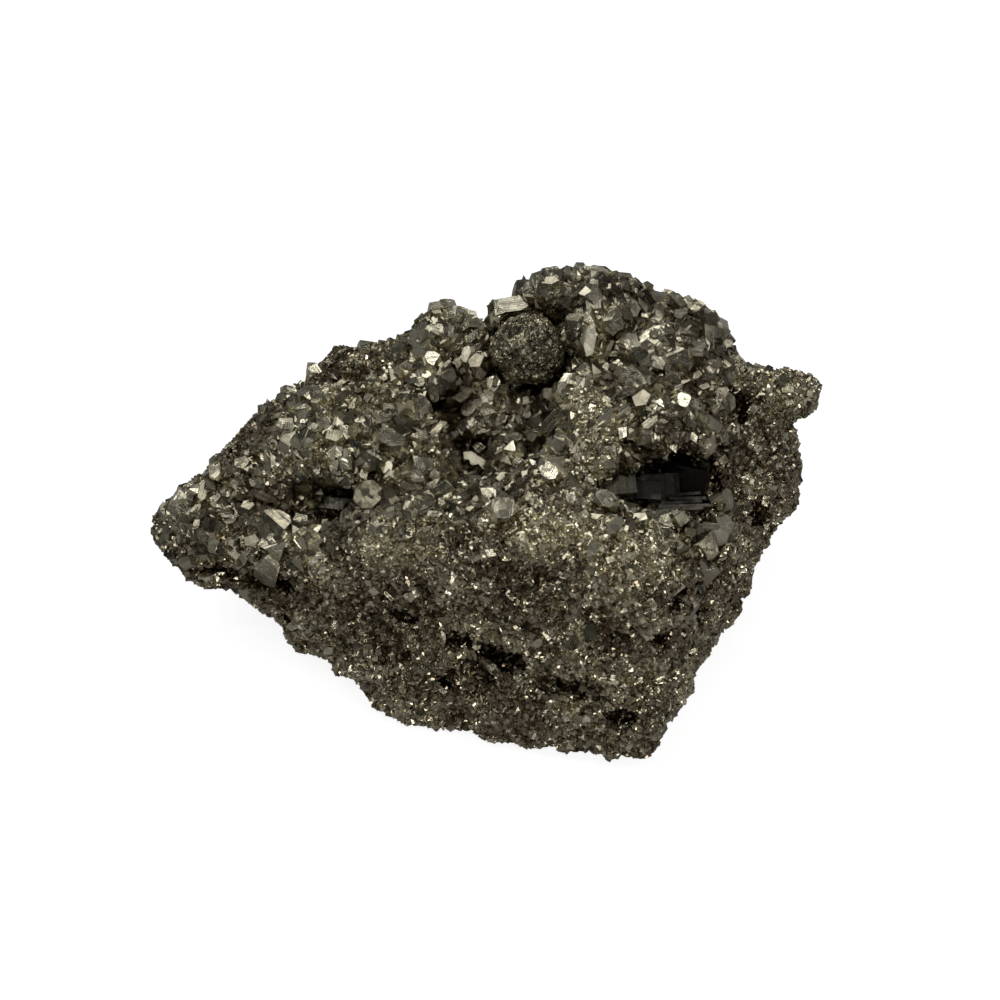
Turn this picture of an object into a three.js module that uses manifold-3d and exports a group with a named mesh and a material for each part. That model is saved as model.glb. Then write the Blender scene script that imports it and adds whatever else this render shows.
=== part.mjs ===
// A hand-sized chunk of granular pyrite: one intergrown mass with a broken foot, a steep front,
// a lumpy crown round a hollow, and the larger crystals that stand out of it.
// Millimetres, +Z up. The origin is under the middle of the chunk, on the surface it rests on.
import * as THREE from "three";
import Module from "manifold-3d";
import { ConvexHull } from "three/addons/math/ConvexHull.js";
import { ImprovedNoise } from "three/addons/math/ImprovedNoise.js";
import { mergeVertices } from "three/addons/utils/BufferGeometryUtils.js";

// Driving dimensions.
const LENGTH = 67; // along X, from the blunt left tip to the knob on the right
const DEPTH = 46; // along Y, from the front corner to the back wall
const HEIGHT = 29; // from the foot to the top of the crown
const CELL = 1.7; // how finely the mass is faceted
const MARGIN = 5; // clear space round the chunk while its skin is found
const FILL = 0.3; // how deep a filled grid corner lies under the skin
const EDGE_ROUND = 1.6; // how much the broken edges of the block are worn round
const LUMP_BLEND = 2.2; // how softly a lump grows out of the block
const HOLLOW_BLEND = 1.1; // how softly a hollow's rim is rounded
const SEAT_GAP = 0.3; // between a crystal or the nodule and its seat in the mass
const NEAR_CENTRE = 1e-6; // nearer a growth's middle, its distance is its shortest half-axis

// The rough relief on the mass: how far apart its bumps are and how high.
const RELIEF = [
  { across: 5.5, height: 1.1 },
  { across: 2.7, height: 0.8 },
];

// The broken block, as its corners: round the foot, round the widest part, and round the crown.
const BLOCK_CORNERS = {
  foot: [
    [15, -21.5, -1.5], [-9.5, -17.5, -1.5], [-12, -8.5, -1.5], [-20, 3, -1.5],
    [-12, 13, -1.5], [8, 18, -1.5], [22, 11, -1.5], [23, -4, -1.5],
  ],
  waist: [
    [16.3, -24.7, 3], [-11, -17.6, 2.5], [-24.5, -4.6, 7.6], [-33, -3.5, 9.5],
    [-33.5, 2, 12], [-24.5, 9, 16], [-16, 17.5, 16], [9, 23, 15],
    [23, 17, 15], [31, 10, 12], [31, 3.5, 9], [24.3, -12.3, 8],
  ],
  crown: [
    [-23, 8.5, 17], [-16, 16.5, 19], [9, 19.5, 25], [20, 16, 24],
    [26, 12, 20], [22, -6, 21], [16, -16, 24], [7, -16, 25],
    [-8, -11, 21], [-18, -9, 16], [-27, -5, 14],
  ],
};

// Rounded growths, each an ellipsoid: its middle and its half-axes.
const LUMPS = {
  left_tip: { at: [-28.5, -1.5, 10], size: [5, 4.5, 4] },
  left_slab: { at: [-15, 7.5, 15.5], size: [9, 7, 4.5] },
  crest_left: { at: [-4.2, 15, 20.4], size: [4, 3.4, 4] },
  crest_top: { at: [9.5, 16, 23.2], size: [7.5, 5.8, 5.2] },
  crest_right: { at: [18.5, 14, 21], size: [7, 6, 4.4] },
  shoulder: { at: [25.5, 12, 17.5], size: [4, 4, 4] },
  knob: { at: [30.2, 11.4, 16.4], size: [3.6, 3.4, 3.6] },
  right_shelf: { at: [15, 4, 22], size: [7, 4.5, 4] },
  ridge_left: { at: [-6, -9, 18], size: [7, 5, 5] },
  ridge_top: { at: [5, -11.5, 21.5], size: [8, 5, 5] },
  ridge_right: { at: [15, -13, 20], size: [7, 6, 5] },
  front_foot: { at: [-8.8, -15.3, 2.8], size: [3.2, 3.2, 3.4] },
  right_wall: { at: [27, 5.5, 11], size: [5.5, 6.5, 6] },
};

// Hollows and clefts, each an ellipsoid taken away, turned about Z by turn degrees.
const HOLLOWS = {
  crown_hollow: { at: [-2, 1.5, 27], size: [11, 8, 8.5], turn: 15 },
  left_cleft: { at: [-18, -2.5, 18], size: [8, 2.2, 4.2], turn: 12 },
  right_cleft: { at: [17, -4.5, 24], size: [6.8, 2.6, 7.5], turn: 12 },
  nodule_bay: { at: [4.2, 10.5, 25], size: [5.4, 5, 4.5], turn: 0 },
  knob_neck: { at: [26, 7, 21], size: [2.4, 2.4, 3], turn: 0 },
  right_gully: { at: [22.6, -9.5, 18], size: [2.6, 4.5, 5], turn: 20 },
  left_undercut: { at: [-20.4, -11.8, 3], size: [8, 2.6, 4.5], turn: -38 },
  front_pit: { at: [0, -19, 11], size: [3, 2.6, 1.8], turn: 0 },
  foot_pit: { at: [7.5, -22, 7.5], size: [2.2, 2.2, 1.5], turn: 0 },
  corner_pit: { at: [12.5, -24, 4.5], size: [2.2, 2.2, 1.4], turn: 0 },
};

// The round nodule in the crown: its middle, its half-axes, how finely it is faceted, and how high and how
// close together its wrinkles are.
const NODULE = { at: [4.1, 11.4, 23.7], size: [3.4, 3.2, 3.3], facets: 3, wrinkle: 0.12, folds: 3 };

// The larger crystals: middle, sides, turns about X, Y and Z in degrees, and cut, which says how far out
// the corner faces stand in half-sides: 3 leaves a plain block and 1 an octahedron.
const CRYSTALS = {
  notch_prism: { at: [2.4, 15.9, 25.2], sides: [3.4, 1.6, 1.3], turn: [20, 0, 10], cut: 2.5 },
  crest_kite: { at: [9, 12.2, 26.4], sides: [2.6, 2.4, 2.6], turn: [35, 20, 15], cut: 1.7 },
  crest_pale: { at: [14.2, 11, 25], sides: [2, 2, 1.8], turn: [30, 0, 40], cut: 2.2 },
  crest_small: { at: [12.4, 12.9, 26.9], sides: [1.6, 1.6, 1.8], turn: [15, 25, 0], cut: 2 },
  crest_left_end: { at: [5.4, 17.2, 27.5], sides: [1.9, 1.8, 1.8], turn: [10, 30, 20], cut: 1.8 },
  nodule_side: { at: [8.9, 9.9, 23.1], sides: [1.4, 1.4, 2.4], turn: [10, 15, 30], cut: 2.1 },
  nodule_foot: { at: [0.4, 8.6, 21.8], sides: [1.6, 1.4, 1.6], turn: [40, 0, 25], cut: 2.3 },
  lump_bright: { at: [-5.4, 11.6, 22], sides: [1.8, 1.8, 1.6], turn: [20, -15, 10], cut: 2 },
  lump_green: { at: [-3.2, 9.5, 22.1], sides: [1.8, 1.6, 2.6], turn: [25, 10, -20], cut: 2.2 },
  slab_green: { at: [-17.6, 3.3, 19.6], sides: [2.3, 2, 1.7], turn: [15, 10, 35], cut: 1.6 },
  slab_rim: { at: [-17.6, 12.8, 18.9], sides: [1.6, 1.5, 1.5], turn: [30, 20, 0], cut: 2 },
  groove_bright: { at: [-20.6, -5.8, 16], sides: [2, 1.8, 1.6], turn: [35, -10, 20], cut: 2.4 },
  hollow_left: { at: [-6.2, -0.1, 19.4], sides: [1.8, 1.6, 1.4], turn: [20, 15, 50], cut: 2.2 },
  hollow_green: { at: [-3.7, -4.8, 21.6], sides: [2.5, 1.8, 1.8], turn: [15, -20, -10], cut: 1.8 },
  hollow_bright: { at: [0.2, -6.6, 23.1], sides: [1.7, 1.6, 1.6], turn: [40, 10, 10], cut: 2.4 },
  hollow_middle: { at: [2.8, 1.4, 19.9], sides: [2.2, 1.9, 1.7], turn: [25, 25, 60], cut: 1.9 },
  ridge_plate: { at: [1.5, -10.7, 26.2], sides: [2.7, 2.4, 1.6], turn: [20, -15, 40], cut: 2.1 },
  ridge_yellow: { at: [9.8, -14.8, 25.3], sides: [1.2, 1.5, 2.1], turn: [20, 10, 15], cut: 2.2 },
  cleft_grey: { at: [11.4, -8.4, 24.5], sides: [2.4, 1.7, 1.5], turn: [10, 15, -15], cut: 2.3 },
  gully_grey: { at: [18.2, -10.2, 24], sides: [1.7, 1.6, 1.9], turn: [30, 25, 5], cut: 2 },
  shelf_pale: { at: [19, 3.8, 24.9], sides: [1.7, 1.5, 1.5], turn: [35, 0, 30], cut: 2.2 },
  neck_small: { at: [23, 5.8, 21.8], sides: [1.5, 1.3, 1.4], turn: [20, 35, 20], cut: 1.9 },
};

// How the metal looks on each kind of surface.
const METALS = {
  mass: { color: 0x6b644e, metalness: 1, roughness: 0.45 },
  nodule: { color: 0x55503c, metalness: 1, roughness: 0.4 },
  crystal: { color: 0xa79f7f, metalness: 1, roughness: 0.2 },
};

// A cube's eight corners, and its twelve edges, each joining two corners that differ along one axis.
const CUBE_CORNERS = [0, 1, 2, 3, 4, 5, 6, 7].map((corner) => [corner & 1, (corner >> 1) & 1, corner >> 2]);
const CUBE_EDGES = [];
for (let corner = 0; corner < CUBE_CORNERS.length; corner++) {
  for (const step of [1, 2, 4]) {
    if (!(corner & step)) {
      CUBE_EDGES.push([corner, corner + step]);
    }
  }
}

// ImprovedNoise repeats the same pattern on every run.
const noise = new ImprovedNoise();

// Signed distance to an ellipsoid, negative inside, near enough for a rock.
function ellipsoidDistance(p, { at, size, turn = 0 }) {
  const angle = THREE.MathUtils.degToRad(turn);
  const dx = p.x - at[0];
  const dy = p.y - at[1];
  const q = new THREE.Vector3(
    (dx * Math.cos(angle) + dy * Math.sin(angle)) / size[0],
    (dy * Math.cos(angle) - dx * Math.sin(angle)) / size[1],
    (p.z - at[2]) / size[2],
  );
  const scaled = new THREE.Vector3(q.x / size[0], q.y / size[1], q.z / size[2]).length();
  if (scaled < NEAR_CENTRE) return -Math.min(...size);
  return (q.length() * (q.length() - 1)) / scaled;
}

// The smaller of two distances, with the corner between them rounded over width.
function smoothMin(a, b, width) {
  const share = Math.max(width - Math.abs(a - b), 0) / width;
  return Math.min(a, b) - (share * share * width) / 4;
}

function smoothMax(a, b, width) {
  return -smoothMin(-a, -b, width);
}

const hull = new ConvexHull().setFromPoints(
  Object.values(BLOCK_CORNERS).flat().map((corner) => new THREE.Vector3(...corner)),
);

// The block's signed distance: the furthest out of its broken faces' planes, with worn edges.
function blockDistance(p) {
  let distance = -Infinity;
  for (const face of hull.faces) {
    const away = face.distanceToPoint(p);
    distance = distance === -Infinity ? away : smoothMax(distance, away, EDGE_ROUND);
  }
  return distance;
}

// How much the rough relief adds to the distance at a place.
function relief(p) {
  let total = 0;
  for (const { across, height } of RELIEF) {
    total += height * noise.noise(p.x / across, p.y / across, p.z / across);
  }
  return total;
}

function chunkDistance(p) {
  let distance = blockDistance(p);
  for (const lump of Object.values(LUMPS)) {
    distance = smoothMin(distance, ellipsoidDistance(p, lump), LUMP_BLEND);
  }
  for (const hollow of Object.values(HOLLOWS)) {
    distance = smoothMax(distance, -ellipsoidDistance(p, hollow), HOLLOW_BLEND);
  }
  return distance + relief(p);
}

// Whether the corners of a cube that lie on one side of the surface hang together along its edges.
function hangsTogether(inside, side) {
  const members = inside.filter((isIn) => isIn === side).length;
  const reached = new Set([inside.indexOf(side)]);
  let before = 0;
  while (before !== reached.size) {
    before = reached.size;
    for (const [from, to] of CUBE_EDGES) {
      const joined = reached.has(from) || reached.has(to);
      if (joined && inside[from] === side && inside[to] === side) {
        reached.add(from).add(to);
      }
    }
  }
  return members === 0 || reached.size === members;
}

// The chunk's distance at the corners of a grid of cubes.
class DistanceGrid {
  constructor() {
    this.low = [-LENGTH / 2 - MARGIN, -DEPTH / 2 - MARGIN, -MARGIN];
    this.cells = [LENGTH, DEPTH, HEIGHT].map((side) => Math.ceil((side + 2 * MARGIN) / CELL));
    this.values = new Float64Array(this.cells.reduce((product, n) => product * (n + 1), 1));
    const probe = new THREE.Vector3();
    this.eachCube([0, 0, 0], this.cells.map((n) => n + 1), (i, j, k) => {
      this.values[this.index(i, j, k)] = chunkDistance(probe.set(...this.place(i, j, k)));
    });
    let filled = Infinity;
    while (filled > 0) {
      filled = this.closeDoubleSheets();
    }
  }

  index(i, j, k) {
    return i + (this.cells[0] + 1) * (j + (this.cells[1] + 1) * k);
  }

  place(i, j, k) {
    return [this.low[0] + i * CELL, this.low[1] + j * CELL, this.low[2] + k * CELL];
  }

  eachCube(first, end, visit) {
    for (let k = first[2]; k < end[2]; k++) {
      for (let j = first[1]; j < end[1]; j++) {
        for (let i = first[0]; i < end[0]; i++) {
          visit(i, j, k);
        }
      }
    }
  }

  cubeIndexes(i, j, k) {
    return CUBE_CORNERS.map(([a, b, c]) => this.index(i + a, j + b, k + c));
  }

  // Fills the shallowest corner of each cube that two sheets of surface pass through, so that the skin
  // never touches itself. Says how many it filled.
  closeDoubleSheets() {
    let filled = 0;
    this.eachCube([0, 0, 0], this.cells, (i, j, k) => {
      const indexes = this.cubeIndexes(i, j, k);
      const inside = indexes.map((index) => this.values[index] < 0);
      if (hangsTogether(inside, true) && hangsTogether(inside, false)) return;
      const outside = indexes.filter((index) => this.values[index] >= 0);
      outside.sort((a, b) => this.values[a] - this.values[b]);
      this.values[outside[0]] = -FILL;
      filled += 1;
    });
    return filled;
  }
}

// The chunk's skin by surface nets: each cube that the surface passes through gets one point, at the middle
// of its crossed edges, and each crossed edge joins the four cubes round it.
function chunkGeometry() {
  const grid = new DistanceGrid();
  const points = [];
  const pointOf = new Map();
  grid.eachCube([0, 0, 0], grid.cells, (i, j, k) => {
    const values = grid.cubeIndexes(i, j, k).map((index) => grid.values[index]);
    const crossed = CUBE_EDGES.filter(([from, to]) => values[from] < 0 !== values[to] < 0);
    if (!crossed.length) return;
    const middle = new THREE.Vector3();
    for (const [from, to] of crossed) {
      const start = new THREE.Vector3(...CUBE_CORNERS[from]);
      const end = new THREE.Vector3(...CUBE_CORNERS[to]);
      middle.add(start.lerp(end, values[from] / (values[from] - values[to])));
    }
    middle.divideScalar(crossed.length);
    pointOf.set(grid.index(i, j, k), points.length / 3);
    points.push(...grid.place(i + middle.x, j + middle.y, k + middle.z));
  });

  const faces = [];
  grid.eachCube([1, 1, 1], grid.cells, (i, j, k) => {
    const inside = grid.values[grid.index(i, j, k)] < 0;
    for (let axis = 0; axis < 3; axis++) {
      const step = [0, 1, 2].map((side) => Number(side === axis));
      if (inside === grid.values[grid.index(i + step[0], j + step[1], k + step[2])] < 0) continue;
      const u = [0, 1, 2].map((side) => Number(side === (axis + 1) % 3));
      const v = [0, 1, 2].map((side) => Number(side === (axis + 2) % 3));
      const ring = [[0, 0], [1, 0], [1, 1], [0, 1]].map(([a, b]) =>
        pointOf.get(grid.index(i - a * u[0] - b * v[0], j - a * u[1] - b * v[1], k - a * u[2] - b * v[2])));
      if (!inside) ring.reverse();
      faces.push(ring[0], ring[1], ring[2], ring[0], ring[2], ring[3]);
    }
  });
  const geometry = new THREE.BufferGeometry();
  geometry.setAttribute("position", new THREE.Float32BufferAttribute(points, 3));
  geometry.setIndex(faces);
  return geometry;
}

const wasm = await Module();
wasm.setup();

// A closed geometry as a manifold-3d solid, for cutting.
function solidOf(geometry) {
  const bare = geometry.clone();
  bare.deleteAttribute("normal");
  bare.deleteAttribute("uv");
  const merged = mergeVertices(bare);
  return new wasm.Manifold(
    new wasm.Mesh({
      numProp: 3,
      vertProperties: new Float32Array(merged.getAttribute("position").array),
      triVerts: new Uint32Array(merged.index.array),
    }),
  );
}

function geometryOf(solid) {
  const mesh = solid.getMesh();
  const geometry = new THREE.BufferGeometry();
  geometry.setAttribute("position", new THREE.BufferAttribute(mesh.vertProperties, 3));
  geometry.setIndex(new THREE.BufferAttribute(mesh.triVerts, 1));
  geometry.computeVertexNormals();
  return geometry;
}

// The flat that the chunk stands on: everything under the foot plane is cut away.
function underTable() {
  const slab = new THREE.BoxGeometry(2 * LENGTH, 2 * DEPTH, HEIGHT);
  slab.translate(0, 0, -HEIGHT / 2);
  return solidOf(slab);
}

// A crystal of the cubic system with its sides, grown by margin all round: a block whose corners are cut
// by an octahedron.
function crystalSolid({ at, sides, turn, cut }, margin) {
  const block = new THREE.BoxGeometry(...sides.map((side) => side + 2 * margin));
  const corners = new THREE.OctahedronGeometry(1);
  corners.scale(...sides.map((side) => (cut * side) / 2 + Math.sqrt(3) * margin));
  const crystal = solidOf(block).intersect(solidOf(corners));
  return crystal.rotate(turn).translate(at);
}

// The nodule, grown by margin all round, with fine wrinkles on its skin.
function noduleSolid({ at, size, facets, wrinkle, folds }, margin) {
  const ball = new THREE.IcosahedronGeometry(1, facets);
  const places = ball.getAttribute("position");
  const p = new THREE.Vector3();
  for (let i = 0; i < places.count; i++) {
    p.fromBufferAttribute(places, i);
    const swell = 1 + wrinkle * noise.noise(folds * p.x, folds * p.y, folds * p.z);
    const reach = size.map((half) => half * swell + margin);
    places.setXYZ(i, p.x * reach[0], p.y * reach[1], p.z * reach[2]);
  }
  return solidOf(ball).translate(at);
}

const group = new THREE.Group();

function addPiece(name, solid, metal) {
  const piece = new THREE.Mesh(geometryOf(solid), new THREE.MeshStandardMaterial(metal));
  piece.name = name;
  group.add(piece);
}

let massSolid = solidOf(chunkGeometry()).subtract(underTable());
massSolid = massSolid.subtract(noduleSolid(NODULE, SEAT_GAP));
for (const crystal of Object.values(CRYSTALS)) {
  massSolid = massSolid.subtract(crystalSolid(crystal, SEAT_GAP));
}

addPiece("pyrite_mass", massSolid, METALS.mass);
addPiece("wrinkled_nodule", noduleSolid(NODULE, 0), METALS.nodule);
for (const [name, crystal] of Object.entries(CRYSTALS)) {
  addPiece(`crystal_${name}`, crystalSolid(crystal, 0), METALS.crystal);
}

// The origin goes under the middle of the finished chunk.
const middle = new THREE.Box3().setFromObject(group).getCenter(new THREE.Vector3());
group.position.set(-middle.x, -middle.y, 0);

export default group;
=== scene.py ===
"""A hand-sized chunk of granular pyrite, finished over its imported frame.

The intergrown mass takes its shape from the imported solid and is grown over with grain-sized relief. A crust
of small crystals, a druse of larger ones, the nodule and the named crystals stand on it.
"""

import logging
import math
from collections.abc import Iterator
from contextlib import contextmanager
from dataclasses import dataclass, field
from enum import Enum

import bpy
import numpy as np
from mathutils import Euler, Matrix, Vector, noise


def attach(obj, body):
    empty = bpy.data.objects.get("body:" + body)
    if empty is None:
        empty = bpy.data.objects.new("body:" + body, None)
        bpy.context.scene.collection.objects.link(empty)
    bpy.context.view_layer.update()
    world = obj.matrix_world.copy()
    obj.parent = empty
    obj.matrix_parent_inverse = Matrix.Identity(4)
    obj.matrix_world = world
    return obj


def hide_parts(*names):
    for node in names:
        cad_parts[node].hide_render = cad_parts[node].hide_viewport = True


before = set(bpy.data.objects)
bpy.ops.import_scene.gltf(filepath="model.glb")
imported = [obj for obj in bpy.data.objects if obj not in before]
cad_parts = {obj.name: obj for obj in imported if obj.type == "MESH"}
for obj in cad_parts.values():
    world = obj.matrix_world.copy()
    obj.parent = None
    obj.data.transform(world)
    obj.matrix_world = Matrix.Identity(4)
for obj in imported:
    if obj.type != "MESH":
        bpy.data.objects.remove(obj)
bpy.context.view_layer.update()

MM = 0.001
BODY = "root"
MASS_NODE = "pyrite_mass"
NODULE_NODE = "wrinkled_nodule"
CRYSTAL_PREFIX = "crystal_"
GRANULAR_SLOT = "granular_pyrite"
CRYSTAL_SLOT = "crystal_pyrite"
WRINKLED_SLOT = "wrinkled_pyrite"
SHARED_CORNER = 0.001 * MM
LOG = logging.getLogger("pyrite")

Array = np.ndarray
Point = tuple[float, float, float]
Colour = tuple[float, float, float, float]
Span = tuple[float, float]
WHOLE: Span = (0.0, 1.0)


# ------------------------------------------------------------
# Hand tools
# ------------------------------------------------------------


def take_up(piece: bpy.types.Object) -> None:
    """Makes a piece the only selected object and the active one.

    Args:
        piece: The object to work on.
    """
    bpy.ops.object.select_all(action="DESELECT")
    piece.select_set(True)
    bpy.context.view_layer.objects.active = piece


@contextmanager
def editing(piece: bpy.types.Object) -> Iterator[None]:
    """Opens a piece in edit mode with everything selected, and closes it again.

    Args:
        piece: The mesh object to edit.

    Yields:
        Nothing, while the piece is open.
    """
    take_up(piece)
    bpy.ops.object.mode_set(mode="EDIT")
    bpy.ops.mesh.select_all(action="SELECT")
    yield
    bpy.ops.object.mode_set(mode="OBJECT")


def slice_off(point: Vector, outward: Vector, weld: float) -> None:
    """Cuts away all of the opened piece that lies beyond a plane, and closes the cut.

    Args:
        point: A point on the plane.
        outward: The direction of what is cut away.
        weld: How close to the plane a vertex counts as on it.
    """
    bpy.ops.mesh.select_all(action="SELECT")
    bpy.ops.mesh.bisect(plane_co=point, plane_no=outward, use_fill=True, clear_outer=True, threshold=weld)


def finish_modifier(piece: bpy.types.Object, kind: str, **settings: object) -> None:
    """Adds a modifier to a piece and applies it at once.

    Args:
        piece: The mesh object to change.
        kind: The modifier's type, such as "REMESH".
        **settings: The modifier's own values.
    """
    modifier = piece.modifiers.new(kind.title(), kind)
    for name, value in settings.items():
        setattr(modifier, name, value)
    take_up(piece)
    bpy.ops.object.modifier_apply(modifier=modifier.name)


def crystal_nodes() -> list[str]:
    """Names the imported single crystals, in order."""
    return sorted(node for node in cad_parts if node.startswith(CRYSTAL_PREFIX))


def copy_of_node(node: str, name: str) -> bpy.types.Object:
    """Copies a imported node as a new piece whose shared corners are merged.

    Args:
        node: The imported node's name.
        name: The new piece's name.

    Returns:
        The new object, at the origin, with its place in its mesh.
    """
    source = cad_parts[node]
    piece = bpy.data.objects.new(name, source.data.copy())
    piece.data.materials.clear()
    bpy.context.scene.collection.objects.link(piece)
    with editing(piece):
        bpy.ops.mesh.remove_doubles(threshold=SHARED_CORNER)
    return piece


def read_rows(items: bpy.types.bpy_prop_collection, value: str) -> Array:
    """Reads one vector of each of a mesh's items.

    Args:
        items: The mesh's items, such as its vertices.
        value: The vector's name.

    Returns:
        One row of x, y and z for each item.
    """
    rows = np.empty(len(items) * 3, np.float32)
    items.foreach_get(value, rows)
    return rows.reshape(-1, 3)


def vertex_places(piece: bpy.types.Object) -> Array:
    """Reads where a piece's vertices are."""
    return read_rows(piece.data.vertices, "co")


def vertex_normals(piece: bpy.types.Object) -> Array:
    """Reads the normals at a piece's vertices."""
    return read_rows(piece.data.vertex_normals, "vector")


def move_vertices(piece: bpy.types.Object, places: Array) -> None:
    """Puts a piece's vertices at new places.

    Args:
        piece: The mesh object to change.
        places: One row of x, y and z for each vertex.
    """
    piece.data.vertices.foreach_set("co", places.astype(np.float32).ravel())
    piece.data.update()


def set_attribute(piece: bpy.types.Object, name: str, domain: str, values: Array) -> None:
    """Writes one number for each point, face or corner of a piece.

    Args:
        piece: The mesh object to change.
        name: The attribute's name, which its material reads.
        domain: "POINT", "FACE" or "CORNER".
        values: The numbers, in the mesh's own order.
    """
    attribute = piece.data.attributes.new(name, "FLOAT", domain)
    attribute.data.foreach_set("value", values.astype(np.float32))


def hand_over(piece: bpy.types.Object, slot: str, *nodes: str) -> None:
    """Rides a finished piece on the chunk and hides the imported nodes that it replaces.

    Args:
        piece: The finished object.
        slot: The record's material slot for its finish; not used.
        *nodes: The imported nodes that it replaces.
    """
    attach(piece, BODY)
    if nodes:
        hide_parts(*nodes)
    LOG.info("%s: %d faces", piece.name, len(piece.data.polygons))


# ------------------------------------------------------------
# Finishes
# ------------------------------------------------------------


MIX_SHARE, MIX_LOW, MIX_HIGH, MIX_RESULT = 0, 6, 7, 2
PATCH_EDGES = (0.44, 0.6)


@dataclass
class Bench:
    """Adds nodes to one shader tree and joins them."""

    tree: bpy.types.NodeTree

    def add(self, kind: str, inputs: dict | None = None, **settings: object) -> bpy.types.Node:
        """Adds a node.

        Args:
            kind: The node's type.
            inputs: For an input's name or number, a socket to join or a value to set.
            **settings: The node's own settings.

        Returns:
            The new node.
        """
        node = self.tree.nodes.new(kind)
        for name, value in settings.items():
            setattr(node, name, value)
        for name, value in (inputs or {}).items():
            if isinstance(value, bpy.types.NodeSocket):
                self.tree.links.new(value, node.inputs[name])
            else:
                node.inputs[name].default_value = value
        return node

    def blend(self, share: object, low: object, high: object) -> bpy.types.NodeSocket:
        """Mixes two colours by a share from 0 to 1 and gives the colour's socket."""
        inputs = {MIX_SHARE: share, MIX_LOW: low, MIX_HIGH: high}
        return self.add("ShaderNodeMix", inputs, data_type="RGBA").outputs[MIX_RESULT]

    def spread(self, value: object, start: Span, end: Span) -> bpy.types.NodeSocket:
        """Maps a value from one span to another, held within it, and gives the socket."""
        spans = {"From Min": start[0], "From Max": start[1], "To Min": end[0], "To Max": end[1]}
        return self.add("ShaderNodeMapRange", {"Value": value, **spans}).outputs["Result"]

    def reckon(self, operation: str, first: object, second: object) -> bpy.types.NodeSocket:
        """Works out one operation on two numbers and gives the socket."""
        return self.add("ShaderNodeMath", {0: first, 1: second}, operation=operation).outputs[0]

    def combine(self, operation: str, first: object, second: object) -> bpy.types.Node:
        """Works out one operation on two vectors and gives the node."""
        return self.add("ShaderNodeVectorMath", {0: first, 1: second}, operation=operation)


def new_group(
    name: str, inputs: dict[str, float], outputs: list[str]
) -> tuple[Bench, bpy.types.Node, bpy.types.Node]:
    """Starts a shader node group whose sockets all hold numbers.

    Args:
        name: The group's name.
        inputs: Each input's name and its first value.
        outputs: The outputs' names.

    Returns:
        The bench for its tree, its input node and its output node.
    """
    tree = bpy.data.node_groups.new(name, "ShaderNodeTree")
    for title, value in inputs.items():
        socket = tree.interface.new_socket(title, in_out="INPUT", socket_type="NodeSocketFloat")
        socket.default_value = value
    for title in outputs:
        tree.interface.new_socket(title, in_out="OUTPUT", socket_type="NodeSocketFloat")
    bench = Bench(tree)
    return bench, bench.add("NodeGroupInput"), bench.add("NodeGroupOutput")


def facet_group() -> bpy.types.NodeTree:
    """Builds the group that breaks a surface into small flat facets, each tilted its own way.

    Returns:
        A group with the input Scale, in facets per metre, and the outputs Height and Shade.
    """
    bench, start, end = new_group("Tilted facets", {"Scale": 3000.0}, ["Height", "Shade"])
    place = bench.add("ShaderNodeTexCoord").outputs["Object"]
    cells = bench.add("ShaderNodeTexVoronoi", {"Vector": place, "Scale": start.outputs["Scale"]})
    away = bench.combine("SUBTRACT", place, cells.outputs["Position"])
    tilt = bench.combine("SUBTRACT", cells.outputs["Color"], (0.5, 0.5, 0.5))
    height = bench.combine("DOT_PRODUCT", away.outputs[0], tilt.outputs[0])
    shade = bench.add("ShaderNodeSeparateColor", {"Color": cells.outputs["Color"]}).outputs["Red"]
    bench.tree.links.new(height.outputs["Value"], end.inputs["Height"])
    bench.tree.links.new(shade, end.inputs["Shade"])
    return bench.tree


def tarnish_and_shade_group() -> bpy.types.NodeTree:
    """Builds the group that darkens the metal: tarnish in patches, painted shade down in the pits.

    Returns:
        A group with the inputs Scale, Pit, which carries the painted shade, and Amount, and the output Mask.
    """
    inputs = {"Scale": 150.0, "Pit": 0.0, "Amount": 0.5}
    bench, start, end = new_group("Patchy tarnish", inputs, ["Mask"])
    place = bench.add("ShaderNodeTexCoord").outputs["Object"]
    looks = {"Vector": place, "Scale": start.outputs["Scale"], "Detail": 4.0, "Roughness": 0.6}
    patches = bench.add("ShaderNodeTexNoise", looks).outputs["Fac"]
    patch = bench.reckon("MULTIPLY", bench.spread(patches, PATCH_EDGES, WHOLE), start.outputs["Amount"])
    # The mask is the tarnish patches plus the painted shade from Pit.
    mask = bench.add("ShaderNodeMath", {0: patch, 1: start.outputs["Pit"]}, operation="ADD", use_clamp=True)
    bench.tree.links.new(mask.outputs[0], end.inputs["Mask"])
    return bench.tree


def growth_line_group() -> bpy.types.NodeTree:
    """Builds the group that draws the fine growth lines across a crystal's faces.

    Returns:
        A group with the inputs Along, in metres, and Scale, in lines per metre, and the output Height.
    """
    bench, start, end = new_group("Growth lines", {"Along": 0.0, "Scale": 8000.0}, ["Height"])
    turn = bench.reckon("MULTIPLY", start.outputs["Along"], start.outputs["Scale"])
    line = bench.add("ShaderNodeTexNoise", {"W": turn, "Scale": 1.0, "Detail": 3.0}, noise_dimensions="1D")
    bench.tree.links.new(line.outputs["Fac"], end.inputs["Height"])
    return bench.tree


class Effects:
    """The shader node groups that the finishes share, each built once."""

    def __init__(self) -> None:
        """Builds the groups."""
        self.facets = facet_group()
        self.tarnish = tarnish_and_shade_group()
        self.growth = growth_line_group()


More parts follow.
